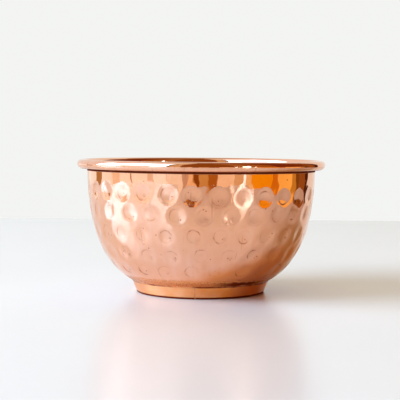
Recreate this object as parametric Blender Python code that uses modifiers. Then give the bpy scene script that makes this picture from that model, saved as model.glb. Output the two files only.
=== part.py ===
"""Hammered copper bowl with a wired rim and a brazed foot ring.

Metres, +Z up. The origin is the centre of the foot ring's flat underside, so
the bowl stands on z = 0. -Y is the front.

The bowl is raised from one disc of sheet. Its edge is rolled outwards and down
round a hoop of wire. Five rows of round hammer marks go round the wall. The
foot is a tapered hoop of strip, closed by a brazed seam and brazed under the
bowl. Neighbouring pieces keep a gap of 0.3 mm.
"""
import math
import random

import bmesh
import bpy
from mathutils import Vector

# ---------------------------------------------------------------- dimensions
GAP = 0.0003                  # between neighbouring pieces
SHEET = 0.0009                # thickness of the bowl's sheet
SEGMENTS = 56                 # facets round every turned piece

RIM_RADIUS = 0.0600           # to the outside of the rolled rim
HEIGHT = 0.0641               # foot to the top of the rim
WIRE_RADIUS = 0.0010          # wire inside the rim
CURL_INSIDE = WIRE_RADIUS + GAP
ROLL_RADIUS = CURL_INSIDE + SHEET
ROLL_CENTRE = (RIM_RADIUS - ROLL_RADIUS, HEIGHT - ROLL_RADIUS)
CURL_TIP_ANGLE = math.radians(-115.0)   # where the rolled edge ends, short of the wall
CURL_STEPS = 8
WIRE_BUTT = 0.0006            # gap between the wire's ends
WIRE_POINTS = 56

WALL_RADIUS = 0.0552          # outside of the smooth collar
COLLAR_TOP = 0.0594           # the wall steps out into the roll above this
FLARE_PULL = 0.0010           # how softly it leaves the collar and meets the roll
WALL_PULLS = ((0.0548, 0.0363), (0.0501, 0.0152))   # shape the curve from collar to foot
FOOT_TOP_RADIUS = 0.0332      # where the body meets the foot
FOOT_TOP = 0.0059
BASE_RADIUS = 0.0250          # flat disc in the middle of the bottom
BASE_HEIGHT = 0.0026
BASE_PULLS = ((0.0300, 0.0041), (0.0280, BASE_HEIGHT))   # from the foot down to that disc

FOOT_BOTTOM_RADIUS = 0.0308
FOOT_THICKNESS = 0.0016
FOOT_TOP_BEVEL = 0.0014       # drop of the foot's top from its outside to its inside
FOOT_SEAM_ANGLE = math.radians(-94.5)   # just left of the front
SEAM_FILLER = 0.0004          # width of the brazed seam
# the brazed fillet between bowl and foot: its corner's offset from the foot's top
# edge, and its two legs from there, one under the bowl and one down the foot
JOINT_CORNER = (0.0003, 0.0001)
JOINT_LEG_BOWL = (0.00105, 0.00050)
JOINT_LEG_FOOT = (-0.00033, -0.0011)

MARK_RADIUS = 0.0041          # mouth of a hammer mark
MARK_FLOOR = 0.0030           # its flatter middle
MARK_DEPTH = 0.00042
MARK_MOUTH_DEPTH = 0.00008    # of the frustum's wide end, just inside the wall
MARK_LID = 0.0008             # height of the cutter's top above the wall
MARK_SIDES = 7
MARK_WANDER = 0.0007          # how far a mark strays along its row
MARK_LIFT = 0.0004            # and up or down
# height of each row, marks in it, the angle of one of them from the front, and
# how much lower the row lies at the right than in the middle
MARK_ROWS = (
    (0.0488, 30, -3.9, 0.0016),
    (0.0402, 28, 0.9, 0.0007),
    (0.0306, 27, -4.2, 0.0003),
    (0.0214, 24, -0.4, 0.0),
    (0.0138, 23, -6.0, 0.0),
)

COPPER = ("polished_copper", (0.82, 0.42, 0.26), 0.12, 1.0)
SATIN_COPPER = ("satin_copper", (0.78, 0.36, 0.20), 0.35, 1.0)
STEEL = ("wire_steel", (0.42, 0.40, 0.38), 0.40, 1.0)
BRAZE = ("braze", (0.78, 0.52, 0.26), 0.38, 1.0)


# ------------------------------------------------------------------- helpers
def clear_scene():
    for thing in list(bpy.data.objects):
        bpy.data.objects.remove(thing, do_unlink=True)


def make_collection(name):
    group = bpy.data.collections.new(name)
    bpy.context.scene.collection.children.link(group)
    return group


def make_material(spec):
    name, colour, roughness, metallic = spec
    material = bpy.data.materials.new(name)
    material.use_nodes = True
    shader = material.node_tree.nodes["Principled BSDF"]
    shader.inputs["Base Color"].default_value = (*colour, 1.0)
    shader.inputs["Roughness"].default_value = roughness
    shader.inputs["Metallic"].default_value = metallic
    return material


def bezier(p0, p1, p2, p3, steps):
    """Points on a cubic curve in the (radius, height) plane, both ends included."""
    points = []
    for i in range(steps + 1):
        t = i / steps
        a, b, c, d = (1 - t) ** 3, 3 * t * (1 - t) ** 2, 3 * t * t * (1 - t), t ** 3
        points.append(tuple(a * w + b * x + c * y + d * z
                            for w, x, y, z in zip(p0, p1, p2, p3)))
    return points


def turned(name, profile, group, material, closed):
    """A piece turned about Z from a (radius, height) profile that runs down its outer side."""
    mesh = bpy.data.meshes.new(name)
    count = len(profile)
    edges = [(i, i + 1) for i in range(count - 1)]
    if closed:
        edges.append((count - 1, 0))
    mesh.from_pydata([(r, 0.0, z) for r, z in profile], edges, [])
    mesh.materials.append(material)
    piece = bpy.data.objects.new(name, mesh)
    group.objects.link(piece)
    screw = piece.modifiers.new("turn", "SCREW")
    screw.axis = "Z"
    screw.steps = SEGMENTS
    screw.render_steps = SEGMENTS
    screw.use_merge_vertices = True
    screw.merge_threshold = 0.00001
    screw.use_smooth_shade = True
    return piece


def lofted_band(name, section, start, end, steps, group, material):
    """A (radius, height) section swept about Z from one angle to another, with flat ends."""
    bm = bmesh.new()
    rings = []
    for i in range(steps + 1):
        angle = start + (end - start) * i / steps
        rings.append([bm.verts.new((r * math.cos(angle), r * math.sin(angle), z))
                      for r, z in section])
    for ring, after in zip(rings, rings[1:]):
        for j in range(len(section)):
            k = (j + 1) % len(section)
            bm.faces.new((ring[j], ring[k], after[k], after[j]))
    bm.faces.new(rings[0][::-1])
    bm.faces.new(rings[-1])
    bmesh.ops.recalc_face_normals(bm, faces=bm.faces)
    mesh = bpy.data.meshes.new(name)
    bm.to_mesh(mesh)
    bm.free()
    mesh.materials.append(material)
    mesh.shade_smooth()
    mesh.set_sharp_from_angle(angle=math.radians(30))
    piece = bpy.data.objects.new(name, mesh)
    group.objects.link(piece)
    return piece


# -------------------------------------------------------------- bowl outline
def wall_curve(steps):
    """Outside of the bowl from the collar down to the foot."""
    return bezier((WALL_RADIUS, COLLAR_TOP), *WALL_PULLS, (FOOT_TOP_RADIUS, FOOT_TOP), steps)


def sheet_outline():
    """The sheet's outer side, from the rolled edge's tip to the middle of the bottom."""
    cx, cz = ROLL_CENTRE
    outline = []
    for i in range(CURL_STEPS + 1):
        angle = CURL_TIP_ANGLE + (math.pi - CURL_TIP_ANGLE) * i / CURL_STEPS
        outline.append((cx + CURL_INSIDE * math.cos(angle), cz + CURL_INSIDE * math.sin(angle)))
    inner = cx - CURL_INSIDE
    outline += bezier((inner, cz), (inner, cz - FLARE_PULL),
                      (WALL_RADIUS, COLLAR_TOP + FLARE_PULL), (WALL_RADIUS, COLLAR_TOP), 4)[1:]
    outline += wall_curve(10)[1:]
    outline += bezier((FOOT_TOP_RADIUS, FOOT_TOP), *BASE_PULLS, (BASE_RADIUS, BASE_HEIGHT), 3)[1:]
    outline.append((0.0, BASE_HEIGHT))
    return outline


def wall_place(height):
    """Radius of the wall's outside at a height, and its outward direction there."""
    fine = wall_curve(400)
    index = min(range(1, len(fine) - 1), key=lambda i: abs(fine[i][1] - height))
    (r0, z0), (r1, z1) = fine[index - 1], fine[index + 1]
    return fine[index][0], Vector((z0 - z1, 0.0, r1 - r0)).normalized()


# --------------------------------------------------------------------- parts
def make_hammer_marks(group):
    """One cutter holding a blunt frustum for each hammer mark, pointing into the wall."""
    rng = random.Random(7)
    bm = bmesh.new()
    for height, count, first, droop in MARK_ROWS:
        radius = wall_place(height)[0]
        for i in range(count):
            turn = math.radians(first - 90.0) + 2 * math.pi * i / count
            turn += rng.uniform(-1, 1) * MARK_WANDER / radius
            rise = height - droop * math.cos(turn) + rng.uniform(-1, 1) * MARK_LIFT
            add_mark(bm, rise, turn)
    mesh = bpy.data.meshes.new("hammer_marks")
    bm.to_mesh(mesh)
    bm.free()
    cutter = bpy.data.objects.new("hammer_marks", mesh)
    cutter.hide_render = True
    cutter.display_type = "WIRE"
    group.objects.link(cutter)
    return cutter


def add_mark(bm, height, turn):
    """A closed plug: a small floor inside the sheet, a wide mouth, and a lid above the wall."""
    radius, normal = wall_place(height)
    out = Vector((normal.x * math.cos(turn), normal.x * math.sin(turn), normal.z))
    side = Vector((-math.sin(turn), math.cos(turn), 0.0))
    up = out.cross(side)
    centre = Vector((radius * math.cos(turn), radius * math.sin(turn), height))
    levels = ((MARK_FLOOR, -MARK_DEPTH), (MARK_RADIUS, -MARK_MOUTH_DEPTH), (MARK_RADIUS, MARK_LID))
    rings = []
    for reach, lift in levels:
        ring = []
        for j in range(MARK_SIDES):
            a = 2 * math.pi * (j + 0.5) / MARK_SIDES
            offset = side * (reach * math.cos(a)) + up * (reach * math.sin(a))
            ring.append(bm.verts.new(centre + offset + out * lift))
        rings.append(ring)
    faces = [bm.faces.new(rings[0]), bm.faces.new(rings[-1])]
    for ring, above in zip(rings, rings[1:]):
        for j in range(MARK_SIDES):
            k = (j + 1) % MARK_SIDES
            faces.append(bm.faces.new((ring[j], ring[k], above[k], above[j])))
    bmesh.ops.recalc_face_normals(bm, faces=faces)


def make_bowl_body(parts, cutters):
    body = turned("bowl_body", sheet_outline(), parts, make_material(COPPER), closed=False)
    solid = body.modifiers.new("sheet", "SOLIDIFY")
    solid.thickness = SHEET
    solid.offset = -1.0
    solid.use_even_offset = True
    cut = body.modifiers.new("hammering", "BOOLEAN")
    cut.operation = "DIFFERENCE"
    cut.object = make_hammer_marks(cutters)
    return body


def make_rim_wire(parts):
    """A hoop of round wire whose ends butt at the back."""
    centre_radius, centre_height = ROLL_CENTRE
    half_butt = WIRE_BUTT / 2 / centre_radius
    start, end = math.pi / 2 + half_butt, math.pi / 2 + 2 * math.pi - half_butt
    curve = bpy.data.curves.new("rim_wire", "CURVE")
    curve.dimensions = "3D"
    curve.bevel_depth = WIRE_RADIUS
    curve.bevel_resolution = 2
    curve.use_fill_caps = True
    spline = curve.splines.new("POLY")
    spline.points.add(WIRE_POINTS - 1)
    for i, point in enumerate(spline.points):
        a = start + (end - start) * i / (WIRE_POINTS - 1)
        point.co = (centre_radius * math.cos(a), centre_radius * math.sin(a), centre_height, 1.0)
    curve.materials.append(make_material(STEEL))
    wire = bpy.data.objects.new("rim_wire", curve)
    parts.objects.link(wire)
    return wire


def foot_section():
    """Section of the foot strip, its top edge bevelled to lie under the bowl."""
    lean = (FOOT_TOP_RADIUS - FOOT_BOTTOM_RADIUS) / FOOT_TOP
    top = FOOT_TOP - GAP
    inner_top = top - FOOT_TOP_BEVEL
    inner_bottom = FOOT_BOTTOM_RADIUS - FOOT_THICKNESS
    return [
        (FOOT_BOTTOM_RADIUS + lean * top, top),
        (FOOT_BOTTOM_RADIUS, 0.0),
        (inner_bottom, 0.0),
        (inner_bottom + lean * inner_top, inner_top),
    ]


def make_foot_ring(parts):
    """The foot strip, open at its seam by the filler and a gap on each side of it."""
    half_open = (SEAM_FILLER / 2 + GAP) / FOOT_BOTTOM_RADIUS
    return lofted_band("foot_ring", foot_section(), FOOT_SEAM_ANGLE + half_open,
                       FOOT_SEAM_ANGLE + 2 * math.pi - half_open, SEGMENTS, parts,
                       make_material(SATIN_COPPER))


def make_foot_seam_braze(parts):
    """The filler in the foot's seam: the strip's section, a little short of the foot's rest."""
    section = [(r, max(z, GAP)) for r, z in foot_section()]
    half = SEAM_FILLER / 2 / FOOT_BOTTOM_RADIUS
    return lofted_band("foot_seam_braze", section, FOOT_SEAM_ANGLE - half,
                       FOOT_SEAM_ANGLE + half, 1, parts, make_material(BRAZE))


def make_foot_joint_braze(parts):
    """The fillet of filler in the corner between the bowl and the top of the foot."""
    edge_r, edge_z = foot_section()[0]
    corner_r, corner_z = edge_r + JOINT_CORNER[0], edge_z + JOINT_CORNER[1]
    profile = [
        (corner_r + JOINT_LEG_BOWL[0], corner_z + JOINT_LEG_BOWL[1]),
        (corner_r + JOINT_LEG_FOOT[0], corner_z + JOINT_LEG_FOOT[1]),
        (corner_r, corner_z),
    ]
    return turned("foot_joint_braze", profile, parts, make_material(BRAZE), closed=True)


def main():
    clear_scene()
    parts = make_collection("hammered_copper_bowl")
    cutters = make_collection("cutters")
    make_bowl_body(parts, cutters)
    make_rim_wire(parts)
    make_foot_ring(parts)
    make_foot_seam_braze(parts)
    make_foot_joint_braze(parts)


main()
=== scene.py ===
"""Hammered copper bowl: the looks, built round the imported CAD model.

The CAD holds the true sizes. Here the sheet, the foot ring and its brazed
joints get fine meshes, and every piece gets a procedural metal. Everything is
in metres, +Z up, with the bowl's axis on Z and its foot standing on z = 0.
-Y is the front. Round the bowl, the rows of marks, the cards and the lamps count
degrees from the front towards +X, and all other angles run from +X towards +Y.
"""

import math
import random
from collections import namedtuple

import bpy
import numpy as np
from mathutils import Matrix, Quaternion, Vector


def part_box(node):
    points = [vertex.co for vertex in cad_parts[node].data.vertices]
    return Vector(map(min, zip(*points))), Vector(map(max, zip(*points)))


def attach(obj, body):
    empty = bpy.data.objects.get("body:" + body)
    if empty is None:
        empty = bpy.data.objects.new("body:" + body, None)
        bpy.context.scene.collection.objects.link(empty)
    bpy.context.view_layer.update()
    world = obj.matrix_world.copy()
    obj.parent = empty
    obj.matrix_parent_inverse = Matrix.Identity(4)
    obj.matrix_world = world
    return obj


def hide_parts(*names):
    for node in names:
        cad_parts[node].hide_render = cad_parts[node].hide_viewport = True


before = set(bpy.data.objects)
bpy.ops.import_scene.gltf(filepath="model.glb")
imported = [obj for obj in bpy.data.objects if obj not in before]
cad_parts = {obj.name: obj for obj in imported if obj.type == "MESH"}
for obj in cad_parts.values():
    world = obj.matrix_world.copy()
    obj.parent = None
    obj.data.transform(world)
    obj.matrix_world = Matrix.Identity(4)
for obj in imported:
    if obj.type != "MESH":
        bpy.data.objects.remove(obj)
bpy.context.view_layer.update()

FRONT = -90.0  # degrees from +X

# ---- sizes from the frame
BODY_LOW, BODY_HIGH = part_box("bowl_body")
WIRE_LOW, WIRE_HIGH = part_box("rim_wire")
RIM_RADIUS = BODY_HIGH.x
HEIGHT = BODY_HIGH.z
WIRE_RADIUS = (WIRE_HIGH.z - WIRE_LOW.z) / 2
BASE_HEIGHT = BODY_LOW.z

# ---- the sheet, as in the CAD
GAP = 0.0003  # between the wire and the edge rolled round it
SHEET = 0.0009  # thickness
CURL_INSIDE = WIRE_RADIUS + GAP
ROLL_RADIUS = CURL_INSIDE + SHEET
ROLL_R = RIM_RADIUS - ROLL_RADIUS
ROLL_Z = HEIGHT - ROLL_RADIUS
CURL_TIP_ANGLE = math.radians(-115.0)
WALL_RADIUS = 0.0552
COLLAR_TOP = 0.0594
FLARE_PULL = 0.0010  # of the curve above the collar, at both ends
WALL_PULLS = ((0.0548, 0.0363), (0.0501, 0.0152))  # they pull the wall's curve
FOOT_TOP_RADIUS = 0.0332
FOOT_TOP = 0.0059
BASE_RADIUS = 0.0250
BASE_PULLS = ((0.0300, 0.0041), (0.0280, BASE_HEIGHT))  # and the curve below it
FLOOR_SHARES = (1.0, 0.7, 0.35, 0.0)  # rings on the flat floor
CURL_STEPS = 22
FLARE_STEPS = 9
WALL_STEPS = 800  # many, because distances are measured on it
UNDER_STEPS = 8
TIP_STEPS = 6

# ---- hammer marks
# height of each row, marks in it, the angle in degrees of one of them from the
# front, and how much lower the row lies at the right than in the middle
MARK_ROWS = (
    (0.0488, 30, -3.9, 0.0016),
    (0.0402, 28, 0.9, 0.0007),
    (0.0306, 27, -4.2, 0.0003),
    (0.0214, 24, -0.4, 0.0),
    (0.0138, 23, -6.0, 0.0),
)
MARK_WANDER = 0.0007  # how far a mark strays along its row
MARK_LIFT = 0.0004  # and up or down
MARK_EDGE = 0.0047  # where the flattened ring meets the raised ground
MARK_DISC = 0.0031  # edge of the hollow in the middle
MARK_HOLLOW_RADIUS = 0.022  # radius of that hollow's curve
MARK_DISH = 0.05  # slope of the ring, down towards the disc
MARK_LEAN = -0.048  # slope of the top row's marks, which face down a little
CREASE = 0.0004  # width over which the edges turn
# how the blows vary: least and most size, weight and roundness of a mark, and
# the spread of its slopes sideways and down
SIZES = (0.94, 1.05)
WEIGHTS = (0.72, 1.12)
SQUEEZES = (0.96, 1.04)
TILTS = (0.018, 0.014)
LARGEST_MARK = 1.12  # times the usual reach, at most
PLACE_SEED = 7
BLOW_SEED = 19
# marks of the top row, at the front, that were struck in a way of their own:
# weight, and the slopes that turn the mark sideways and down
STRUCK = {
    1: (0.75, 0.0, -0.060),
    2: (0.60, -0.017, -0.048),
    3: (1.10, 0.0, -0.030),
    5: (1.10, 0.0, -0.035),
}
BUMP_REACH = 0.0056  # the soft bump behind each mark, inside the bowl
BUMP_HEIGHT = 0.00034
MARK_SAMPLES = 400  # points on the section of a mark, and of a bump
BUMP_SAMPLES = 300
TINY = 1e-9  # stands in for no distance, where it is divided by

# waves in the ground between the marks: how many, how often each repeats round
# the bowl and in a metre down it, and its height
WAVES = 16
WAVE_TURNS = (14, 60)
WAVE_DOWN = (120, 900)
WAVE_HEIGHT = 0.000009
WAVE_HEIGHTS = (0.6, 1.2)  # of single waves, times that
WAVE_START = 0.002  # distance below the collar's top where they begin
WAVE_FADES = (0.006, 0.004)  # lengths over which they grow and die out
WAVE_SEED = 5

# ---- foot
FOOT_RADIUS = 0.0308  # where it stands
FOOT_THICKNESS = 0.0016
FOOT_TOP_BEVEL = 0.0014
SEAM_ANGLE = math.radians(-94.5)
FOOT_ROUND = 0.0005  # of the foot's bottom edges
ROUND_STEPS = 5
FOOT_CREASE = math.radians(35.0)  # edges that turn by more than this stay sharp
HAIR = 0.00003  # the space left between pieces that touch
SEAM_WIDTH = 0.0003
SEAM_PROUD = 0.00004
SEAM_STEPS = 4
SEAM_ROUND_STEPS = 2
SHARP = 0.0001  # rounding of an edge that looks sharp
FOOT_INNER_ROUND = 0.0002
FILLET_DOWN = 0.0004  # how far the joint's filler reaches down the foot
FILLET_UP = 0.0009  # and up the bowl
FILLET_HOLLOW = 0.0001  # from the corner to the point that pulls the filler's face in
FILLET_STEPS = 8
FILLET_CREASE = math.radians(50.0)
# ripples that make the filler fuller in places: how many, how often each repeats
# round the foot, where it starts, its share, and the height of a full one
RIPPLES = 8
RIPPLE_TURNS = (5, 40)
RIPPLE_STARTS = (0.0, 6.28)
RIPPLE_SHARES = (0.2, 1.0)
RIPPLE_HEIGHT = 0.00002
RIPPLE_SEED = 3
JOINT_UP = (0.0166, 0.0091)  # the way the wall leaves the joint: out and up

# ---- resolution
FINE = 600  # segments round the hammered wall
MEDIUM = 300  # round the inside, the rim and the foot
COARSE = 150  # round the floor and the curl's outer side
WALL_RINGS = 96  # down the outside
INNER_RINGS = 64
MM = 1000.0  # the marks are charted in mm, for the materials
FAR_FROM_MARKS = 50.0  # mm, for what isn't on the outside of the wall
OFF_THE_WALL = 0.8 * FAR_FROM_MARKS  # past this, a place isn't there
BATCHES = 40  # the nearest marks are found in batches, to save memory

# ---- surfaces
COPPER_PINK = (0.93, 0.51, 0.33)
COPPER_WARM = (0.90, 0.45, 0.26)
COPPER_DULL = (0.82, 0.38, 0.20)
COPPER_PALE = (0.96, 0.64, 0.48)
COPPER_LINE = (0.38, 0.10, 0.03)
NECK_COPPER = (0.88, 0.34, 0.09)
NECK_STREAK = (0.45, 0.11, 0.02)
# painted shade: colour for the mirrored shadow low on one side
SIDE_SHADE_COPPER = (0.83, 0.28, 0.065)
# dark brown of real tarnish and soot, and of the painted shade in the rim's fold and at the foot's
# bottom edge
SOOT_TARNISH_AND_SHADE = (0.13, 0.018, 0.004)
SATIN_LIGHT = (0.98, 0.49, 0.24)
SATIN_DARK = (0.95, 0.36, 0.08)
SATIN_LINE = (0.78, 0.24, 0.04)
# painted shade on the foot, for the mirrored shadow towards +X
FOOT_SHADE_BROWN = (0.72, 0.20, 0.02)
BRAZE_LIGHT = (0.84, 0.36, 0.14)
BRAZE_DARK = (0.30, 0.07, 0.015)
STEEL_LIGHT = (0.52, 0.51, 0.50)
STEEL_DARK = (0.30, 0.29, 0.28)

# A noise is lumps per metre, detail, roughness. A remap is where it starts and where
# it is full, and the values that it has there if they aren't 0 and 1. A pattern is both.
CLOUD = (110.0, 4.0, 0.6)
UNEVEN = (200.0, 2.0)
BRAZE_LUMPS = (1500.0,)
TABLE_MOTTLE = (9.0, 4.0, 0.6)
# lines: a noise with a scale of its own along x, y and z
SCRATCHES = ((900.0, 900.0, 90.0), 2.0, 0.5)
STREAKS = ((1700.0, 1700.0, 110.0), 1.0, 0.5)
HAIRLINES = ((160.0, 160.0, 2600.0), 2.0, 0.5)
# and lines with a scale round the bowl, up it and out from it
WRAP_RADIUS = 0.05  # m that count for one radian round
DARK_LINES = ((900.0, 55.0, 0.0), 1.0, 0.4)
PALE_LINES = ((330.0, 30.0, 0.0), 2.0, 0.5)
FOOT_LINES = ((60.0, 6000.0, 6000.0), 3.0, 0.6)
WIRE_LINES = ((40.0, 9000.0, 9000.0), 3.0, 0.6)
# tones of the polished copper: pattern and colour
COPPER_TONES = (
    ((34.0, 3.0, 0.55), (0.35, 0.65), COPPER_WARM),
    (CLOUD, (0.52, 0.75, 0.0, 0.35), COPPER_DULL),
    ((260.0, 2.0, 0.5), (0.55, 0.75, 0.0, 0.30), COPPER_DULL),
)
# the line at a disc's edge, in mm
LINE_WIDTH = 0.52  # on each side of the edge
LINE_WANDER = ((300.0, 2.0), (0.3, 0.7, -0.2, 0.2))
LINE_MIDDLES = (0.0, 1.0, 1.6, 5.4)  # angle round a mark at which it is strongest, by chance
LINE_ENDS = (0.35, 0.85, 0.08)  # by the cosine of the angle from there
LINE_WORN = ((420.0, 1.0), (0.38, 0.58, 0.3, 1.0))
LINE_WEIGHTS = (0.1, 0.9, 0.2, 1.2)  # by chance
# the pits, in mm
PIT_PLACE = (1.3, 1.1)  # right of and below a mark's middle, where its pits gather
PIT_SHIFTS = (0.0, 1.0, -0.8, 0.8)  # and further left or right, by chance
PIT_SPREAD = (1.3, 0.7)
PIT_MARKS = (0.25, 0.4)  # by chance: some marks have none
PIT_CELLS = 900.0  # per metre
PIT_RARE = 0.985  # the share of cells without a pit
PIT_CROWD = 0.6  # off that share, where pits gather
PIT_SIZE = (0.36, 0.20)  # in cells
PIT_GRIME = ((500.0, 2.0), (0.4, 0.7, 0.0, 0.35))
PIT_SHOWS = 0.8  # in the colour
# dark scratches and pale streaks up the wall
DARK_SHOWS = (0.71, 0.78, 0.0, 0.35)
PALE_SHOWS = (0.50, 0.72, 0.0, 0.2)
# painted shade: a darker brown low on one side, standing in for the mirrored shadow there
SIDE_SHADE_ANGLE = math.radians(-40.0)
SIDE_SHADE_FACING = (0.2, 0.6, 0.0, 0.85)  # by the cosine of the angle from there
SIDE_SHADE_LEAN = 0.35  # how the painted shade climbs towards +X
SIDE_SHADE_LEVEL = (0.0140, 0.0083)  # heights
SIDE_SHADE_RAGGED = ((160.0, 3.0), (0.3, 0.7, -0.0012, 0.0012))
# the band above the foot, brushed when the joint was cleaned
NECK_BAND = (FOOT_TOP + 0.0040, FOOT_TOP + 0.0032)
NECK_RAGGED = ((500.0, 2.0), (0.3, 0.7, -0.0003, 0.0003))
NECK_BRUSHED = (0.35, 0.65, 0.6)
NECK_STREAKED = (0.48, 0.68, 0.0, 0.75)
# and the soot left in it
SOOT_ANGLE = math.radians(-57.0)
SOOT_FACING = (0.90, 0.99, 0.15)
SOOT_HEIGHT = FOOT_TOP + 0.0014
SOOT_SPREAD = (0.0013, 0.0007)
# painted shade in the fold under the rim, from below and from above
FOLD_BELOW = (COLLAR_TOP - 0.0009, COLLAR_TOP - 0.0006)
FOLD_ABOVE = (COLLAR_TOP + 0.0006, COLLAR_TOP + 0.0003)
SHADE_AND_DIRT_METAL = (0.0, 1.0, 1.0, 0.10)  # how metallic it is, by the amount of painted shade and dirt
SHADE_AND_DIRT_GLOSS = 0.0
# roughness of the collar and of the wall, and what is added to it
POLISH = (COLLAR_TOP - 0.004, COLLAR_TOP - 0.009, 0.04, 0.08)
CLOUD_ROUGH = (CLOUD, (0.3, 0.8, -0.015, 0.03))
BRUSHED_ROUGH, SHADE_AND_DIRT_ROUGH, LINE_ROUGH = 0.16, 0.5, 0.12
# bumps: strength and depth
UNEVEN_BUMP = (0.05, 0.0004)
SCRATCH_BUMPS = (0.0, 1.0, 0.02, 0.35)  # strength, by how brushed the copper is
SCRATCH_DEPTH = 0.00005
HAIRLINE_BUMP = (0.02, 0.00005)
PIT_BUMP = (0.6, 0.00006)
LINE_BUMP = (1.0, 0.00004)
# the foot
SATIN_DRIFT = ((90.0, 3.0, 0.6), (0.35, 0.7))
SATIN_LINED = (0.35, 0.65, 0.0, 0.3)
SATIN_SIDE_SHADE = (0.004, 0.024, 0.0, 0.75)  # painted shade, growing towards +X
# painted contact shade along the foot's bottom edge; the top edge is real tarnish by the joint
SATIN_LOW_EDGE = (0.0011, 0.0008)
SATIN_TOP_EDGE = (FOOT_TOP - 0.0005, FOOT_TOP - 0.0002, 0.0, 0.8)
SATIN_ROUGH = (0.3, 0.7, 0.38, 0.48)
SATIN_EDGE_ROUGH = 0.3
SATIN_BUMP = (0.12, 0.00006)
SATIN_STRETCH = 0.8
QUARTER_TURN = 0.25
# its filler
BURNT = ((70.0, 3.0, 0.6), (0.44, 0.56))
BURNT_HEIGHT = (FOOT_TOP - 0.0014, FOOT_TOP - 0.0004, 0.25, 1.0)
BRAZE_ROUGH = ((700.0, 3.0, 0.6), (0.3, 0.7, 0.2, 0.4))
BRAZE_BUMP = (0.3, 0.00005)
# the wire
STEEL_ROUGH = (0.3, 0.7, 0.3, 0.5)

# ---- studio
CAMERA_LENS = 100.0
SENSOR_WIDTH = 36.0
CAMERA_PLACE = (-0.00046, -0.5404, 0.0743)
CAMERA_PITCH = math.radians(-3.17)
CAMERA_ROLL = 0.0077
TABLE_LOW = (-0.48, -0.36)
TABLE_HIGH = (0.31, 0.48)
TABLE_THICKNESS = 0.03
TABLE_ROUND = 0.004  # of its edges
TABLE_ROUND_STEPS = 4
TABLE_LIGHT = (0.86, 0.89, 0.91)
TABLE_SHADE = (0.81, 0.84, 0.87)
TABLE_ROUGHNESS = 0.24
WALL_COLOUR = (0.90, 0.91, 0.89)
FILL_COLOUR = (1.0, 0.75, 0.45)
FILL_STRENGTH = 0.15
LIGHT_AIM = (0.0, 0.0, 0.02)
# name, place, size, power, colour
LIGHTS = (
    ("key", (-2.0, -0.46, 0.84), (1.6, 1.3), 106.0, (0.74, 0.88, 1.08)),
    ("overhead", (0.15, 0.30, 1.30), (1.2, 1.2), 5.0, (1.0, 0.76, 0.30)),
    ("front", (-0.75, -1.25, 0.85), (0.9, 0.7), 3.5, (1.0, 0.98, 0.95)),
)
CARD_HEIGHT = 0.05  # of their sphere's middle
CARD_DISTANCE = 1.20
CARD_STEP = (4, 6)  # degrees between a card's points, round and up
LOW = (-25, 0.3)  # what stands beyond the table, up to eye level
HIGH = (0.3, 88)  # and what is above it
# Cards: name, span round in degrees from the front, span up, radiance, and distance
# if it isn't the usual one. The first group gives the table no light: the lamps do.
LIT_BY_LAMPS = (
    ("window", (-97, -33), (12, 60), (2.0, 3.1, 5.2), 1.30),
    ("window_core", (-108, -78), (6, 40), (4.2, 6.8, 11.5), 1.25),
    ("window_side", (-46, -31), (8, 40), (3.2, 4.9, 7.6), 1.25),
    ("window_top", (-108, -28), (60, 88), (0.9, 0.9, 0.8), 1.30),
    ("left_far", (-150, -97), (2, 88), (0.95, 1.0, 1.1), 1.30),
    ("back_wall", (132, 210), (-25, 50), (0.90, 0.92, 0.90), 1.30),
    ("back_above", (132, 210), (50, 88), (0.45, 0.36, 0.28), 1.30),
    ("left_wall", (-150, -34), (-25, 12), (1.2, 1.25, 1.3), 1.32),
)
CARDS = (
    ("left_post", (-126, -114), LOW, (0.50, 0.30, 0.12)),
    ("left_frame", (-96, -86), LOW, (1.05, 0.90, 0.74)),
    ("left_line", (-72, -70.8), LOW, (0.50, 0.30, 0.16)),
    ("left_bar", (-52.7, -46.5), LOW, (0.95, 0.80, 0.68)),
    ("near_left", (-34, -18), LOW, (1.05, 1.0, 0.92), 1.25),
    ("near_left_above", (-28, -18), HIGH, (0.70, 0.52, 0.28), 1.25),
    ("front_brown", (-18, -12), LOW, (0.65, 0.46, 0.35)),
    ("front_tan", (-12, -8), LOW, (0.99, 0.72, 0.46)),
    ("dark_upright", (-7, -2.5), LOW, (0.28, 0.08, 0.01), 1.15),
    ("front_middle", (-8, 7), LOW, (0.66, 0.38, 0.12)),
    ("dark_figure", (7, 15.5), LOW, (0.45, 0.16, 0.02), 1.15),
    ("front_right", (15.5, 32), LOW, (1.02, 0.85, 0.65)),
    ("right_tan", (32, 41.0), LOW, (0.78, 0.54, 0.30)),
    ("right_window", (41.0, 43.4), LOW, (1.4, 1.75, 2.1)),
    ("right_window_top", (41.0, 43.4), (2, 22), (5.0, 6.5, 8.5)),
    ("right_strip", (43.4, 49), LOW, (0.94, 0.68, 0.35)),
    ("orange", (49, 73.5), LOW, (0.95, 0.40, 0.005)),
    ("orange_edge", (73.5, 79.5), LOW, (0.69, 0.22, 0.01)),
    ("amber", (79.5, 100), LOW, (1.08, 0.65, 0.15)),
    ("amber_edge", (100, 106), LOW, (0.60, 0.30, 0.04)),
    ("dark_right", (106, 112), (-25, 88), (0.22, 0.08, 0.01)),
    ("red_right", (112, 124), (-25, 88), (0.32, 0.11, 0.02)),
    ("black_right", (124, 132), (-25, 88), (0.08, 0.02, 0.005)),
    ("front_above", (-18, 30), HIGH, (0.27, 0.09, 0.012), 1.25),
    ("right_above", (30, 54), HIGH, (0.40, 0.19, 0.06), 1.25),
    ("far_right_above", (54, 70), HIGH, (0.36, 0.12, 0.02), 1.25),
    ("dark_above", (70, 106), HIGH, (0.20, 0.04, 0.01), 1.25),
)
# small lamps at the right: azimuth, width, top of each and how bright it is
LAMPS = ((30.5, 2.2, 6.5, 1.0), (38.5, 3.6, 13.0, 1.1), (48.5, 1.8, 6.5, 1.0))
LAMP_BOTTOM = 3.5
LAMP_DISTANCE = 1.15
LAMP_COLOUR = (7.0, 8.5, 10.0)


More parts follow.
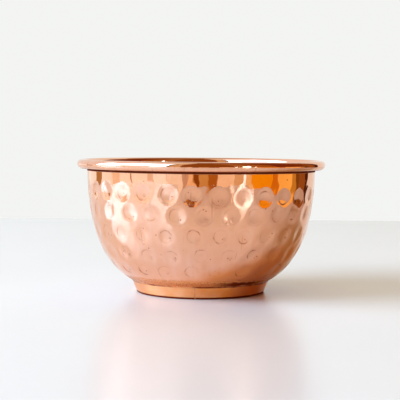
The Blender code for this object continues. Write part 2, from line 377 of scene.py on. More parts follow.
# ---- turned outlines
def bezier(p0, p1, p2, p3, steps):
    """Points on a cubic curve in the (radius, height) plane, both ends included."""
    t = np.linspace(0.0, 1.0, steps + 1)[:, None]
    weights = ((1 - t) ** 3, 3 * t * (1 - t) ** 2, 3 * t * t * (1 - t), t ** 3)
    return sum(w * np.array(p) for w, p in zip(weights, (p0, p1, p2, p3)))


def arc(centre, radius, start, end, steps):
    """Points on a round stretch of the outline, both ends included."""
    angles = np.linspace(start, end, steps + 1)
    return np.stack([centre[0] + radius * np.cos(angles), centre[1] + radius * np.sin(angles)], 1)


def outline_normals(points):
    """Unit normals on the left of the direction of travel, which is out of the sheet."""
    along = np.gradient(points, axis=0)
    along /= np.linalg.norm(along, axis=1)[:, None]
    return np.stack([-along[:, 1], along[:, 0]], 1)


def lengths_along(points):
    """How far each point lies from the first one, along the curve."""
    return np.concatenate([[0], np.cumsum(np.linalg.norm(np.diff(points, axis=0), axis=1))])


def evenly(points, steps):
    """The same curve with its points at even spacing."""
    lengths = lengths_along(points)
    wanted = np.linspace(0, lengths[-1], steps + 1)
    return np.stack([np.interp(wanted, lengths, points[:, k]) for k in (0, 1)], 1)


def sheet_sections():
    """The sheet's outer side in stretches, from the rolled edge's tip to the middle of the base.

    Each is an array of (radius, height) points. The inner side is the same set moved in by SHEET.
    """
    inner = ROLL_R - CURL_INSIDE
    curl = arc((ROLL_R, ROLL_Z), CURL_INSIDE, CURL_TIP_ANGLE, math.pi, CURL_STEPS)
    flare = bezier((inner, ROLL_Z), (inner, ROLL_Z - FLARE_PULL),
                   (WALL_RADIUS, COLLAR_TOP + FLARE_PULL), (WALL_RADIUS, COLLAR_TOP), FLARE_STEPS)
    wall = bezier((WALL_RADIUS, COLLAR_TOP), *WALL_PULLS, (FOOT_TOP_RADIUS, FOOT_TOP), WALL_STEPS)
    under = bezier((FOOT_TOP_RADIUS, FOOT_TOP), *BASE_PULLS, (BASE_RADIUS, BASE_HEIGHT), UNDER_STEPS)
    floor = np.array([(BASE_RADIUS * share, BASE_HEIGHT) for share in FLOOR_SHARES])
    return curl, flare, wall, under, floor


# ---- hammer marks
Mark = namedtuple("Mark", "turn down size weight tilt squeeze")


def place_marks(wall):
    """Each mark's angle and distance down the wall, with a hand's wander, and its row's height."""
    rng = random.Random(PLACE_SEED)
    lengths = lengths_along(wall)
    marks = []
    for height, count, first, droop in MARK_ROWS:
        radius = np.interp(-height, -wall[:, 1], wall[:, 0])
        for i in range(count):
            turn = math.radians(first + FRONT) + math.tau * i / count
            turn += rng.uniform(-1, 1) * MARK_WANDER / radius
            rise = height - droop * math.cos(turn) + rng.uniform(-1, 1) * MARK_LIFT
            marks.append((turn, np.interp(-rise, -wall[:, 1], lengths), height))
    return marks


def vary_marks(marks):
    """Each blow's own size, weight, tilt and roundness, added to its place."""
    rng = random.Random(BLOW_SEED)
    varied = []
    top = MARK_ROWS[0][0]
    for i, (turn, down, height) in enumerate(marks):
        size = rng.uniform(*SIZES)
        weight = rng.uniform(*WEIGHTS)
        lean = MARK_LEAN if height == top else 0.0
        tilt = (rng.gauss(0, TILTS[0]), rng.gauss(0, TILTS[1]) + lean)
        squeeze = rng.uniform(*SQUEEZES)
        if i in STRUCK:
            weight, *tilt = STRUCK[i]
            squeeze = 1.0
        varied.append(Mark(turn, down, size, weight, tilt, squeeze))
    return varied


def angle_from(start, end):
    """The turn from one angle to another, at most half a turn either way."""
    return (end - start + math.pi) % math.tau - math.pi


def smooth_step(x):
    """0 up to 0, 1 from 1 on, and a smooth rise between."""
    x = np.clip(x, 0, 1)
    return x * x * (3 - 2 * x)


def mark_profile():
    """Depth and slope of a mark against distance from its middle.

    The ring between disc and edge is flattened against the wall's own curve and slightly dished,
    and the disc is a shallow hollow. Both meet their surroundings at a crease.
    """
    reach = np.linspace(0, MARK_EDGE + 2 * CREASE, MARK_SAMPLES)
    ring = reach / WALL_RADIUS + MARK_DISH
    hollow = reach * (1 / WALL_RADIUS + 1 / MARK_HOLLOW_RADIUS)
    in_disc = 1 - smooth_step((reach - MARK_DISC) / CREASE + 0.5)
    in_mark = 1 - smooth_step((reach - MARK_EDGE) / CREASE + 0.5)
    slope = (hollow * in_disc + ring * (1 - in_disc)) * in_mark
    height = -np.cumsum((slope * reach[1])[::-1])[::-1]
    return reach, height, slope


def bump_profile():
    """Height and slope of the soft bump that a mark raises inside the bowl."""
    reach = np.linspace(0, BUMP_REACH, BUMP_SAMPLES)
    x = reach / BUMP_REACH
    height = BUMP_HEIGHT * (1 - x * x) ** 2
    return reach, height, np.gradient(height, reach)


def ground_waves():
    """Long gentle waves left between the marks, each going a whole number of times round."""
    rng = random.Random(WAVE_SEED)
    return [(rng.randint(*WAVE_TURNS), rng.uniform(*WAVE_DOWN), rng.uniform(0, math.tau),
             rng.uniform(*WAVE_HEIGHTS) * WAVE_HEIGHT) for _ in range(WAVES)]


def hammered(down, theta, radius, marks, profile, waves, length):
    """Height of the hammered surface and its slopes down and round, on a grid.

    u and v are how far a place is right of and below a mark's middle.
    """
    height = np.zeros((len(down), len(theta)))
    slope_down = np.zeros_like(height)
    slope_round = np.zeros_like(height)
    reach, depth, slope = profile
    span = reach[-1] * LARGEST_MARK
    for turn, middle, size, weight, tilt, squeeze in marks:
        rows = np.where(np.abs(down - middle) < span)[0]
        across = angle_from(turn, theta)
        columns = np.where(np.abs(across) * radius[rows].min() < span)[0]
        u = across[columns][None, :] * radius[rows][:, None]
        v = (down[rows] - middle)[:, None] + 0 * u
        du, dv = u * squeeze / size, v / squeeze / size
        rho = np.maximum(np.hypot(du, dv), TINY)
        inside = 1 - smooth_step((rho - MARK_DISC) / (MARK_EDGE - MARK_DISC))
        h = np.interp(rho, reach, depth, right=0.0) * weight * size
        g = np.interp(rho, reach, slope, right=0.0) * weight
        grid = np.ix_(rows, columns)
        height[grid] += h + (tilt[0] * u + tilt[1] * v) * inside
        slope_round[grid] += g * du / rho * squeeze + tilt[0] * inside
        slope_down[grid] += g * dv / rho / squeeze + tilt[1] * inside
    grow, die = WAVE_FADES
    fade = smooth_step((down - WAVE_START) / grow) * smooth_step((length - down) / die)
    for turns, per_metre, phase, size in waves:
        angle = turns * theta[None, :] + per_metre * down[:, None] + phase
        height += size * np.sin(angle) * fade[:, None]
        slope_down += size * per_metre * np.cos(angle) * fade[:, None]
        slope_round += size * turns / radius[:, None] * np.cos(angle) * fade[:, None]
    return height, slope_down, slope_round


# ---- ring by ring
class Rings:
    """A closed surface turned about Z, gathered ring by ring, with a true normal at each vertex."""

    def __init__(self):
        self.points, self.normals, self.faces, self.chart = [], [], [], []
        self.last = None

    def add(self, points, normals, count, relief=None, down=None):
        """Rings through (radius, height) points whose outward normals are given.

        relief(theta) returns the height above the outline and its slopes along and round.
        down is each ring's distance down the hammered wall. The chart keeps, for each vertex,
        its angle, that distance and its radius.
        """
        along = np.stack([normals[:, 1], -normals[:, 0]], 1)
        theta = math.tau * np.arange(count) / count
        cos, sin = np.cos(theta), np.sin(theta)
        if relief is None:
            height = slope_along = slope_round = np.zeros((len(points), count))
        else:
            height, slope_along, slope_round = relief(theta)
        radius = points[:, :1] + height * normals[:, :1]
        z = points[:, 1:] + height * normals[:, 1:]
        out = normals[:, :1] - slope_along * along[:, :1]
        up = normals[:, 1:] - slope_along * along[:, 1:]
        place = np.stack([radius * cos, radius * sin, z], 2)
        normal = np.stack([out * cos + slope_round * sin, out * sin - slope_round * cos, up], 2)
        normal /= np.linalg.norm(normal, axis=2)[:, :, None]
        if down is None:
            down = [math.nan] * len(points)
        for ring, ring_normals, distance, r in zip(place, normal, down, points[:, 0]):
            self._ring(ring, ring_normals)
            self.chart.append(np.stack([theta, 0 * theta + distance, 0 * theta + r], 1))

    def pole(self, z, up):
        """The single vertex on the axis that starts or ends the surface."""
        self._ring(np.array([(0.0, 0.0, z)]), np.array([(0.0, 0.0, up)]))
        self.chart.append(np.full((1, 3), math.nan))

    def _ring(self, ring, normals):
        start = sum(len(p) for p in self.points)
        self.points.append(ring)
        self.normals.append(normals)
        if self.last is not None:
            self._stitch(*self.last, start, len(ring))
        self.last = (start, len(ring))

    def _stitch(self, a, na, b, nb):
        """Faces between two rings, of equal counts, or one of twice the other's, or of 1."""
        n = max(na, nb) if min(na, nb) == 1 else min(na, nb)
        i = np.arange(n)
        j = (i + 1) % n
        even, odd, after = 2 * i, 2 * i + 1, (2 * i + 2) % (2 * n)
        if na == nb:
            bands = [(b + i, b + j, a + j, a + i)]
        elif nb == 1:
            bands = [(a + i, np.full(n, b), a + j)]
        elif na == 1:
            bands = [(np.full(n, a), b + i, b + j)]
        elif nb > na:
            bands = [(a + i, b + even, b + odd), (a + i, b + odd, a + j), (a + j, b + odd, b + after)]
        else:
            bands = [(a + even, b + i, a + odd), (a + odd, b + i, b + j), (a + odd, b + j, a + after)]
        for corners in bands:
            self.faces += np.stack(corners, 1).tolist()

    def mesh(self, name):
        """The surface as a mesh that keeps the normals."""
        mesh = new_mesh(name, np.concatenate(self.points).tolist(), self.faces)
        mesh.shade_smooth()
        mesh.normals_split_custom_set_from_vertices(np.concatenate(self.normals).tolist())
        return mesh

    def chart_marks(self, mesh, marks):
        """Gives each face corner its place, in mm, within the mark nearest to its face."""
        chart = np.concatenate(self.chart)
        corners = np.empty(len(mesh.loops), dtype=np.int32)
        mesh.loops.foreach_get("vertex_index", corners)
        sizes = np.array([len(face) for face in self.faces])
        starts = np.cumsum(sizes) - sizes
        owner = np.repeat(np.arange(len(sizes)), sizes)
        listed = [(mark.turn, mark.down, mark.size, mark.squeeze) for mark in marks]
        turns, downs, spread, squeezes = np.array(listed).T
        place = np.full((len(corners), 3), FAR_FROM_MARKS)
        on_wall = ~np.isnan(chart[corners[starts]][owner, 1] + chart[corners, 1])
        faces = np.unique(owner[on_wall])
        middle = chart[corners[starts[faces]]]
        nearest = np.empty(len(sizes), dtype=np.int32)
        for some in np.array_split(np.arange(len(faces)), BATCHES):
            gap = angle_from(turns, middle[some, 0][:, None])
            away = (gap * middle[some, 2][:, None]) ** 2 + (middle[some, 1][:, None] - downs) ** 2
            nearest[faces[some]] = np.argmin(away, 1)
        mark = nearest[owner[on_wall]]
        theta, down, radius = chart[corners[on_wall]].T
        gap = angle_from(turns[mark], theta)
        place[on_wall, 0] = gap * radius * squeezes[mark] / spread[mark] * MM
        place[on_wall, 1] = (down - downs[mark]) / squeezes[mark] / spread[mark] * MM
        place[on_wall, 2] = mark
        layer = mesh.attributes.new("mark", "FLOAT_VECTOR", "CORNER")
        layer.data.foreach_set("vector", place.ravel())


def new_mesh(name, points, faces, crease=None):
    """A mesh. If crease is given it is smooth, but for edges that turn by more than that."""
    mesh = bpy.data.meshes.new(name)
    mesh.from_pydata(points, [], faces)
    if crease is not None:
        mesh.shade_smooth()
        mesh.set_sharp_from_angle(angle=crease)
    return mesh


def new_object(name, data, material=None):
    """An object in the scene, with one material if it is given."""
    thing = bpy.data.objects.new(name, data)
    if material is not None:
        data.materials.append(material)
    bpy.context.scene.collection.objects.link(thing)
    return thing


# ---- the bowl's sheet
# neighbouring stretches share their end points, so most leave one or both out
WHOLE, NOT_FIRST, NOT_LAST, BETWEEN = slice(None), slice(1, None), slice(None, -1), slice(1, -1)


def inward(points, part=WHOLE):
    """A stretch of the sheet's inner side, from the middle of the bowl outwards, and its normals."""
    normals = outline_normals(points)
    return (points - SHEET * normals)[::-1][part], -normals[::-1][part]


def outward(points, part=WHOLE):
    """A stretch of the sheet's outer side, from the rolled edge's tip on, and its normals."""
    return points[part], outline_normals(points)[part]


def make_sheet(material):
    """The whole sheet as one closed surface: floor, inside, rolled edge, outside, underside."""
    curl, flare, wall, under, floor = sheet_sections()
    marks = vary_marks(place_marks(wall))
    length = lengths_along(wall)[-1]
    waves = ground_waves()
    outside, inside = evenly(wall, WALL_RINGS), evenly(wall, INNER_RINGS)

    def relief(outline, profile, theta):
        down = np.linspace(0, length, len(outline))
        grids = hammered(down, theta, outline[:, 0], marks, profile, waves, length)
        return [grid[BETWEEN] for grid in grids]

    def outer_relief(theta):
        return relief(outside, mark_profile(), theta)

    def inner_relief(theta):
        height, slope_down, slope_round = relief(inside, bump_profile(), theta)
        return height[::-1], -slope_down[::-1], slope_round[::-1]

    rings = Rings()
    rings.pole(BASE_HEIGHT + SHEET, 1.0)
    rings.add(*inward(floor[:-1]), COARSE)
    rings.add(*inward(under, NOT_FIRST), MEDIUM)
    rings.add(*inward(inside, BETWEEN), MEDIUM, inner_relief)
    rings.add(*inward(flare, NOT_LAST), MEDIUM)
    rings.add(*inward(curl), MEDIUM)
    edge, edge_normals = outward(curl)
    rings.add(*rounded_tip(edge[0], edge_normals[0]), MEDIUM)
    rings.add(edge, edge_normals, COARSE)
    rings.add(*outward(flare, NOT_FIRST), MEDIUM)
    rings.add(*outward(outside, BETWEEN), FINE, outer_relief,
              down=np.linspace(0, length, len(outside))[BETWEEN])
    rings.add(*outward(under), MEDIUM)
    rings.add(*outward(floor[:-1], NOT_FIRST), COARSE)
    rings.pole(BASE_HEIGHT, -1.0)
    mesh = rings.mesh("hammered_sheet")
    rings.chart_marks(mesh, marks)
    return new_object("hammered_sheet", mesh, material)


def rounded_tip(edge, normal):
    """The rounded end of the rolled edge, from its outer side to its inner side."""
    middle = edge - normal * SHEET / 2
    forward = np.array([normal[1], -normal[0]])
    angles = np.linspace(0, math.pi, TIP_STEPS + 1)[BETWEEN]
    out = [-normal * math.cos(a) - forward * math.sin(a) for a in angles]
    return np.array([middle + o * SHEET / 2 for o in out]), np.array(out)


# ---- foot and brazing
def bands_between(loops, size, closed=False):
    """Faces between neighbouring loops of size points, and from the last to the first if closed."""
    faces = []
    for k in range(loops if closed else loops - 1):
        a, b = k * size, (k + 1) % loops * size
        faces += [(a + j, a + (j + 1) % size, b + (j + 1) % size, b + j) for j in range(size)]
    return faces


def swept(name, loop, start, end, steps, material):
    """A closed (radius, height) loop swept round Z from one angle to another, with flat ends."""
    theta = np.linspace(start, end, steps + 1)
    r, z = np.array(loop).T
    place = np.stack([np.outer(np.cos(theta), r), np.outer(np.sin(theta), r),
                      np.tile(z, (steps + 1, 1))], 2)
    n = len(loop)
    ends = [tuple(range(n - 1, -1, -1)), tuple(range(steps * n, (steps + 1) * n))]
    mesh = new_mesh(name, place.reshape(-1, 3).tolist(), bands_between(steps + 1, n) + ends, FOOT_CREASE)
    return new_object(name, mesh, material)


def bowed(start, pull, end, steps):
    """Points on a curve from start to end that bends towards pull."""
    shares = (k / steps for k in range(steps + 1))
    return [tuple(start * (1 - t) ** 2 + pull * 2 * t * (1 - t) + end * t * t) for t in shares]


def rounded_loop(corners, radii, steps=ROUND_STEPS):
    """A polygon in the (radius, height) plane with each corner rounded to its own radius."""
    loop = []
    count = len(corners)
    for i, (corner, size) in enumerate(zip(corners, radii)):
        c = Vector(corner)
        before = (Vector(corners[i - 1]) - c).normalized()
        after = (Vector(corners[(i + 1) % count]) - c).normalized()
        reach = size / math.tan(before.angle(after) / 2)
        loop += bowed(c + before * reach, c, c + after * reach, steps)
    return loop


def foot_radius(z):
    """Outer radius of the foot at a height."""
    return FOOT_RADIUS + (FOOT_TOP_RADIUS - FOOT_RADIUS) * z / FOOT_TOP


def foot_corners(skin=0.0):
    """The foot strip's section, clockwise from its top outer corner, grown by skin."""
    top = FOOT_TOP - HAIR
    inner_top = top - FOOT_TOP_BEVEL
    return [
        (foot_radius(top) + skin, top),
        (foot_radius(0) + skin, 0.0),
        (foot_radius(0) - FOOT_THICKNESS - skin, 0.0),
        (foot_radius(inner_top) - FOOT_THICKNESS - skin, inner_top),
    ]


def make_foot_hoop(material):
    """The strip bent into a tapered hoop, open at its seam."""
    loop = rounded_loop(foot_corners(), (SHARP, FOOT_ROUND, FOOT_ROUND, FOOT_INNER_ROUND))
    half = (SEAM_WIDTH / 2 + HAIR) / FOOT_RADIUS
    return swept("foot_hoop", loop, SEAM_ANGLE + half, SEAM_ANGLE + math.tau - half,
                 MEDIUM, material)


def make_foot_seam(material):
    """The line of filler in the hoop's seam, wiped almost flush and clear of the table."""
    corners = [(r, max(z, GAP)) for r, z in foot_corners(skin=SEAM_PROUD)]
    loop = rounded_loop(corners, [SHARP] * len(corners), SEAM_ROUND_STEPS)
    half = SEAM_WIDTH / 2 / FOOT_RADIUS
    return swept("foot_seam_line", loop, SEAM_ANGLE - half, SEAM_ANGLE + half,
                 SEAM_STEPS, material)


def make_joint_fillet(material):
    """The hollow fillet of filler in the corner between the bowl and the foot, fuller in places."""
    down = Vector((FOOT_RADIUS - FOOT_TOP_RADIUS, -FOOT_TOP)).normalized()
    up = Vector(JOINT_UP).normalized()
    corner = Vector((FOOT_TOP_RADIUS, FOOT_TOP))
    hollow = corner + (down + up).normalized() * FILLET_HOLLOW
    loop = bowed(corner + up * FILLET_UP, hollow, corner + down * FILLET_DOWN, FILLET_STEPS)
    loop.append(tuple(corner + (down + up) * HAIR))
    rng = random.Random(RIPPLE_SEED)
    ripples = [(rng.randint(*RIPPLE_TURNS), rng.uniform(*RIPPLE_STARTS), rng.uniform(*RIPPLE_SHARES))
               for _ in range(RIPPLES)]
    theta = math.tau * np.arange(MEDIUM) / MEDIUM
    swell = sum(share * np.sin(turns * theta + start) for turns, start, share in ripples) * RIPPLE_HEIGHT
    points = []
    for angle, push in zip(theta, swell):
        for j, (r, z) in enumerate(loop):
            out = push if 0 < j < FILLET_STEPS else 0.0
            points.append(((r + out) * math.cos(angle), (r + out) * math.sin(angle), z - out))
    faces = bands_between(MEDIUM, len(loop), closed=True)
    mesh = new_mesh("foot_joint_fillet", points, faces, FILLET_CREASE)
    return new_object("foot_joint_fillet", mesh, material)


# ---- materials
class Nodes:
    """A short way to add and wire a material's or world's nodes. Colours are (r, g, b)."""

    def __init__(self, owner):
        owner.use_nodes = True
        self.owner = owner
        self.tree = owner.node_tree

    def add(self, kind, inputs=None, **settings):
        node = self.tree.nodes.new("ShaderNode" + kind)
        for key, value in settings.items():
            setattr(node, key, value)
        for key, value in (inputs or {}).items():
            self.feed(node.inputs[key], value)
        return node

    def feed(self, socket, value):
        if isinstance(value, bpy.types.NodeSocket):
            self.tree.links.new(value, socket)
        elif socket.type == "RGBA":
            socket.default_value = (*value, 1.0)
        else:
            socket.default_value = value

    def show(self, surface):
        """Makes surface what is rendered, and returns the material or world."""
        self.feed(self.tree.get_output_node("ALL").inputs["Surface"], surface)
        return self.owner


class Surface(Nodes):
    """The nodes of a material that patterns the surface by its place on the object."""

    def __init__(self, name):
        super().__init__(bpy.data.materials.new(name))
        self.place = self.add("TexCoord").outputs["Object"]

    def axes(self, vector=None):
        """A vector's three parts, or those of the place on the object."""
        return self.add("SeparateXYZ", {0: vector or self.place}).outputs

    def noise(self, scale, detail=2.0, rough=0.5, vector=None):
        node = self.add("TexNoise", {"Vector": vector or self.place, "Scale": scale,
                                     "Detail": detail, "Roughness": rough})
        return node.outputs["Fac"]

    def lines(self, scales, detail, rough, place=None):
        """Noise drawn out into lines by its own scale along each axis."""
        drawn = self.add("Mapping", {"Vector": place or self.place, "Scale": scales})
        return self.noise(1.0, detail, rough, drawn.outputs["Vector"])

    def remap(self, value, low, high, to_low=0.0, to_high=1.0):
        node = self.add("MapRange", {"Value": value, "From Min": low, "From Max": high,
                                     "To Min": to_low, "To Max": to_high})
        return node.outputs["Result"]

    def pattern(self, noise, remap):
        return self.remap(self.noise(*noise), *remap)

    def maths(self, operation, a, b=0.0):
        return self.add("Math", {0: a, 1: b}, operation=operation).outputs[0]

    def product(self, first, *others):
        for other in others:
            first = self.maths("MULTIPLY", first, other)
        return first

    def blend(self, share, a, b):
        node = self.add("Mix", {"Factor": share, 6: a, 7: b}, data_type="RGBA")
        return node.outputs[2]

    def bump(self, height, strength, distance, normal=None):
        inputs = {"Height": height, "Strength": strength, "Distance": distance}
        if normal is not None:
            inputs["Normal"] = normal
        return self.add("Bump", inputs).outputs["Normal"]

    def shell_radius(self):
        """Distance from the bowl's axis."""
        x, y, _ = self.axes()
        return self.maths("SQRT", self.maths("ADD", self.product(x, x), self.product(y, y)))

    def turned_place(self):
        """Coordinates that run round, up and out of the bowl, in metres, for brushed lines."""
        x, y, z = self.axes()
        turn = self.product(self.maths("ARCTAN2", y, x), WRAP_RADIUS)
        return self.add("CombineXYZ", {0: turn, 1: z, 2: self.shell_radius()}).outputs[0]

    def facing(self, angle):
        """Cosine of the turn round the bowl between the place and an angle."""
        x, y, _ = self.axes()
        return self.maths("COSINE", self.maths("SUBTRACT", self.maths("ARCTAN2", y, x), angle))

    def shade(self, inputs):
        """Feeds the material's shader and returns the material."""
        for key, value in inputs.items():
            self.feed(self.tree.nodes["Principled BSDF"].inputs[key], value)
        return self.owner


BARE_METAL = {"Metallic": 1.0, "Specular IOR Level": SHADE_AND_DIRT_GLOSS}


def mark_place(n):
    """Place in mm right of and below the nearest mark's middle, and that mark's number."""
    return n.axes(n.add("Attribute", attribute_name="mark").outputs["Vector"])


def chance(n, number, share):
    """A random number from 0 to 1 for each mark, different for each share."""
    seed = n.maths("ADD", number, share)
    return n.add("TexWhiteNoise", {"W": seed}, noise_dimensions="1D").outputs["Value"]


def distance_from(n, x, y, point):
    """How far (x, y) lies from a point."""
    flat = n.add("CombineXYZ", {0: n.maths("SUBTRACT", x, point[0]),
                                1: n.maths("SUBTRACT", y, point[1])}).outputs[0]
    return n.add("VectorMath", {0: flat}, operation="LENGTH").outputs["Value"]


def mark_line(n, x, y, number):
    """The line that the hammer's edge leaves along part of each disc's rim: 0 to 1."""
    reach = distance_from(n, x, y, (0.0, 0.0))
    uneven = n.maths("ADD", reach, n.pattern(*LINE_WANDER))
    away = n.maths("ABSOLUTE", n.maths("SUBTRACT", uneven, MARK_DISC * MM))
    line = n.remap(away, LINE_WIDTH, 0.0)
    middle = n.remap(chance(n, number, 0.0), *LINE_MIDDLES)
    turn = n.maths("SUBTRACT", n.maths("ARCTAN2", y, x), middle)
    along = n.remap(n.maths("COSINE", turn), *LINE_ENDS)
    weight = n.remap(chance(n, number, 0.3), *LINE_WEIGHTS)
    return n.product(line, weight, along, n.pattern(*LINE_WORN))


def pits(n, x, y, number):
    """Small pits, scattered thinly and gathered at the lower right of most marks, and their grime."""
    shift = n.remap(chance(n, number, 0.5), *PIT_SHIFTS)
    away = distance_from(n, n.maths("ADD", x, shift), y, PIT_PLACE)
    here = n.product(n.remap(away, *PIT_SPREAD), n.remap(chance(n, number, 0.7), *PIT_MARKS))
    cells = n.add("TexVoronoi", {"Vector": n.place, "Scale": PIT_CELLS, "Randomness": 1.0})
    lot = n.add("SeparateColor", {0: cells.outputs["Color"]}).outputs[0]
    kept = n.maths("GREATER_THAN", n.maths("ADD", lot, n.product(here, PIT_CROWD)), PIT_RARE)
    pit = n.product(kept, n.remap(cells.outputs["Distance"], *PIT_SIZE))
    return pit, n.product(here, n.pattern(*PIT_GRIME))


def painted_side_shade(n, outside):
    """Strength of the painted shade, a darker brown low on one side, standing in for the mirrored shadow
    there.
    """
    x, _, height = n.axes()
    ragged = n.maths("ADD", height, n.pattern(*SIDE_SHADE_RAGGED))
    level = n.maths("SUBTRACT", ragged, n.product(x, SIDE_SHADE_LEAN))
    facing = n.remap(n.facing(SIDE_SHADE_ANGLE), *SIDE_SHADE_FACING)
    return n.product(facing, n.remap(level, *SIDE_SHADE_LEVEL), outside)


def neck_zone(n, height, outside):
    """The cleaned neck above the foot: how much of it is brushed, and how much is browned."""
    ragged = n.maths("ADD", height, n.pattern(*NECK_RAGGED))
    brushed = n.product(n.remap(ragged, *NECK_BAND), outside)
    near = n.remap(n.facing(SOOT_ANGLE), *SOOT_FACING)
    middle = n.remap(n.maths("ABSOLUTE", n.maths("SUBTRACT", ragged, SOOT_HEIGHT)), *SOOT_SPREAD)
    return brushed, n.product(near, middle, brushed)


def rim_fold(n, height):
    """The painted shade outside, a dark line in the fold between collar and rolled edge: 0 to 1."""
    fold = n.product(n.remap(height, *FOLD_BELOW), n.remap(height, *FOLD_ABOVE))
    return n.product(fold, n.maths("GREATER_THAN", n.shell_radius(), WALL_RADIUS - SHEET / 2))


def copper_tone(n, outside, brushed, scratches, line, pit, grime):
    """The colour of the polished copper, with its painted side shade but without the fold's painted
    shade and the soot.
    """
    place = n.turned_place()
    dark = n.remap(n.lines(*DARK_LINES, place), *DARK_SHOWS)
    pale = n.remap(n.lines(*PALE_LINES, place), *PALE_SHOWS)
    tone = COPPER_PINK
    for noise, remap, colour in COPPER_TONES:
        tone = n.blend(n.pattern(noise, remap), tone, colour)
    tone = n.blend(pale, tone, COPPER_PALE)
    tone = n.blend(grime, tone, COPPER_LINE)
    # painted shade: darker brown low on one side, for the mirrored shadow
    tone = n.blend(painted_side_shade(n, outside), tone, SIDE_SHADE_COPPER)
    tone = n.blend(n.product(brushed, n.remap(scratches, *NECK_BRUSHED)), tone, NECK_COPPER)
    tone = n.blend(n.product(brushed, n.remap(n.lines(*STREAKS), *NECK_STREAKED)), tone, NECK_STREAK)
    marked = n.maths("MAXIMUM", line, n.product(pit, PIT_SHOWS))
    return n.blend(n.maths("MAXIMUM", marked, dark), tone, COPPER_LINE)


def copper_normal(n, brushed, scratches, line, pit):
    """Fine unevenness, scratches, hairlines, pits and the marks' lines, as bumps on each other."""
    normal = n.bump(n.noise(*UNEVEN), *UNEVEN_BUMP)
    normal = n.bump(scratches, n.remap(brushed, *SCRATCH_BUMPS), SCRATCH_DEPTH, normal)
    normal = n.bump(n.lines(*HAIRLINES), *HAIRLINE_BUMP, normal)
    normal = n.bump(n.product(pit, -1.0), *PIT_BUMP, normal)
    return n.bump(n.product(line, -1.0), *LINE_BUMP, normal)


def polished_copper():
    """Mirror copper: slow drifts of tone, lined and pitted marks, scratches, a brushed neck, and painted
    shade low on one side and in the fold under the rim.
    """
    n = Surface("polished_copper")
    x, y, number = mark_place(n)
    height = n.axes()[2]
    outside = n.maths("LESS_THAN", n.maths("ABSOLUTE", x), OFF_THE_WALL)
    line = mark_line(n, x, y, number)
    pit, grime = pits(n, x, y, number)
    brushed, soot = neck_zone(n, height, outside)
    scratches = n.lines(*SCRATCHES)
    # painted shade in the fold under the rim, together with the real soot at the neck
    shade_and_soot = n.maths("MAXIMUM", rim_fold(n, height), soot)
    tone = copper_tone(n, outside, brushed, scratches, line, pit, grime)
    rough = n.maths("ADD", n.remap(height, *POLISH), n.pattern(*CLOUD_ROUGH))
    for zone, more in ((brushed, BRUSHED_ROUGH), (shade_and_soot, SHADE_AND_DIRT_ROUGH), (line, LINE_ROUGH)):
        rough = n.maths("ADD", rough, n.product(zone, more))
    return n.shade(BARE_METAL | {
        # the painted shade of the fold and the soot darken the colour here
        "Base Color": n.blend(shade_and_soot, tone, SOOT_TARNISH_AND_SHADE),
        "Metallic": n.remap(shade_and_soot, *SHADE_AND_DIRT_METAL),
        "Roughness": rough,
        "Normal": copper_normal(n, brushed, scratches, line, pit),
    })


def satin_copper():
    """The foot: brushed round the hoop, less bright, with painted shade towards +X, tarnish near its top
    edge and painted contact shade along its bottom edge.
    """
    n = Surface("satin_copper")
    x, _, height = n.axes()
    grain = n.lines(*FOOT_LINES, n.turned_place())
    tone = n.blend(n.pattern(*SATIN_DRIFT), SATIN_LIGHT, SATIN_DARK)
    tone = n.blend(n.remap(grain, *SATIN_LINED), tone, SATIN_LINE)
    # painted shade: the foot darkens towards +X, for the mirrored shadow
    tone = n.blend(n.remap(x, *SATIN_SIDE_SHADE), tone, FOOT_SHADE_BROWN)
    # painted contact shade at the bottom edge, real tarnish at the top edge
    edges = n.maths("MAXIMUM", n.remap(height, *SATIN_LOW_EDGE), n.remap(height, *SATIN_TOP_EDGE))
    return n.shade(BARE_METAL | {
        "Base Color": n.blend(edges, tone, SOOT_TARNISH_AND_SHADE),
        "Metallic": n.remap(edges, *SHADE_AND_DIRT_METAL),
        "Roughness": n.maths("ADD", n.remap(grain, *SATIN_ROUGH), n.product(edges, SATIN_EDGE_ROUGH)),
        "Normal": n.bump(grain, *SATIN_BUMP),
        "Tangent": n.add("Tangent", direction_type="RADIAL", axis="Z").outputs[0],
        "Anisotropic": SATIN_STRETCH,
        "Anisotropic Rotation": QUARTER_TURN,
    })


def braze_metal():
    """The filler: a little lumpy, burnt dark in places and most of all near the joint."""
    n = Surface("braze")
    burnt = n.product(n.pattern(*BURNT), n.remap(n.axes()[2], *BURNT_HEIGHT))
    return n.shade(BARE_METAL | {
        "Base Color": n.blend(burnt, BRAZE_LIGHT, BRAZE_DARK),
        "Roughness": n.pattern(*BRAZE_ROUGH),
        "Normal": n.bump(n.noise(*BRAZE_LUMPS), *BRAZE_BUMP),
    })


def wire_steel():
    """The hidden wire: drawn steel, with lines that run along it."""
    n = Surface("wire_steel")
    grain = n.lines(*WIRE_LINES, n.turned_place())
    return n.shade(BARE_METAL | {
        "Base Color": n.blend(grain, STEEL_DARK, STEEL_LIGHT),
        "Roughness": n.remap(grain, *STEEL_ROUGH),
    })


# ---- studio
def emission(name, radiance):
    """A material that glows, for the cards."""
    n = Nodes(bpy.data.materials.new(name))
    n.tree.nodes.remove(n.tree.nodes["Principled BSDF"])
    n.owner.cycles.emission_sampling = "NONE"
    return n.show(n.add("Emission", {"Color": radiance}).outputs[0])


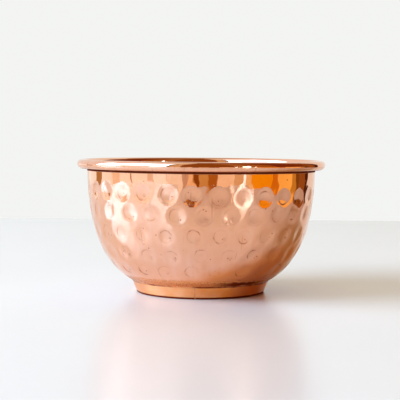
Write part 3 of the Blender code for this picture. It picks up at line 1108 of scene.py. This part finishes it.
def make_card(name, span, rise, radiance, distance=CARD_DISTANCE):
    """A studio card: part of a sphere round the bowl, seen in reflections but not by the camera."""
    steps = max(2, round((span[1] - span[0]) / CARD_STEP[0]))
    levels = max(2, round((rise[1] - rise[0]) / CARD_STEP[1]))
    points = []
    for up in np.radians(np.linspace(*rise, levels + 1)):
        radius, z = distance * math.cos(up), CARD_HEIGHT + distance * math.sin(up)
        for turn in np.radians(np.linspace(*span, steps + 1) + FRONT):
            points.append((radius * math.cos(turn), radius * math.sin(turn), z))
    row = steps + 1
    starts = [k * row + i for k in range(levels) for i in range(steps)]
    faces = [(a, a + 1, a + row + 1, a + row) for a in starts]
    card = new_object(name, new_mesh(name, points, faces), emission(name, radiance))
    card.visible_camera = False
    card.visible_shadow = False
    return card


def make_table():
    """A plain pale table top, a little glossy, that ends behind the bowl as a soft line."""
    n = Surface("table")
    tone = n.blend(n.noise(*TABLE_MOTTLE), TABLE_LIGHT, TABLE_SHADE)
    material = n.shade({"Base Color": tone, "Roughness": TABLE_ROUGHNESS})
    low, high = TABLE_LOW, TABLE_HIGH
    corners = [low, (high[0], low[1]), high, (low[0], high[1])]
    points = [(x, y, z) for z in (-TABLE_THICKNESS, 0.0) for x, y in corners]
    faces = bands_between(2, 4) + [(3, 2, 1, 0), (4, 5, 6, 7)]
    table = new_object("table", new_mesh("table", points, faces), material)
    soften = table.modifiers.new("edge", "BEVEL")
    soften.width = TABLE_ROUND
    soften.segments = TABLE_ROUND_STEPS


def make_lights():
    """Broad soft lights for the table, hidden from reflections."""
    for name, place, size, power, colour in LIGHTS:
        area = bpy.data.lights.new(name, "AREA")
        area.shape = "RECTANGLE"
        area.size, area.size_y = size
        area.energy = power
        area.color = colour
        lamp = new_object(name, area)
        lamp.location = place
        lamp.rotation_euler = (Vector(LIGHT_AIM) - lamp.location).to_track_quat("-Z", "Y").to_euler()
        lamp.visible_glossy = False


def make_surround():
    """A pale wall for the camera to see, and a dim warm fill for everything else."""
    n = Nodes(bpy.data.worlds.new("surround"))
    shown = n.add("Background", {"Color": WALL_COLOUR, "Strength": 1.0}).outputs[0]
    fill = n.add("Background", {"Color": FILL_COLOUR, "Strength": FILL_STRENGTH}).outputs[0]
    to_camera = n.add("LightPath").outputs["Is Camera Ray"]
    bpy.context.scene.world = n.show(n.add("MixShader", {0: to_camera, 1: fill, 2: shown}).outputs[0])


def make_camera():
    """The photo's view: nearly level, a little rolled."""
    data = bpy.data.cameras.new("camera")
    data.lens = CAMERA_LENS
    data.sensor_width = SENSOR_WIDTH
    camera = new_object("camera", data)
    camera.location = CAMERA_PLACE
    aim = Vector((0, math.cos(CAMERA_PITCH), math.sin(CAMERA_PITCH)))
    camera.rotation_mode = "QUATERNION"
    camera.rotation_quaternion = aim.to_track_quat("-Z", "Y") @ Quaternion((0, 0, 1), CAMERA_ROLL)
    bpy.context.scene.camera = camera


# ---- main
copper = polished_copper()
satin = satin_copper()
braze = braze_metal()

sheet = make_sheet(copper)
hoop = make_foot_hoop(satin)
seam = make_foot_seam(braze)
fillet = make_joint_fillet(braze)
for piece, node, slot in ((sheet, "bowl_body", "polished_copper"), (hoop, "foot_ring", "satin_copper"),
                          (seam, "foot_seam_braze", "braze"), (fillet, "foot_joint_braze", "braze")):
    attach(piece, "root")
    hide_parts(node)
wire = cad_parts["rim_wire"]
wire.material_slots[0].material = wire_steel()

make_table()
make_lights()
make_surround()
for card in LIT_BY_LAMPS:
    make_card(*card).visible_diffuse = False
for card in CARDS:
    make_card(*card)
for number, (azimuth, width, top, strength) in enumerate(LAMPS):
    make_card(f"lamp_{number}", (azimuth - width / 2, azimuth + width / 2), (LAMP_BOTTOM, top),
              [strength * c for c in LAMP_COLOUR], LAMP_DISTANCE)
make_camera()
bpy.context.scene.view_settings.view_transform = "Standard"
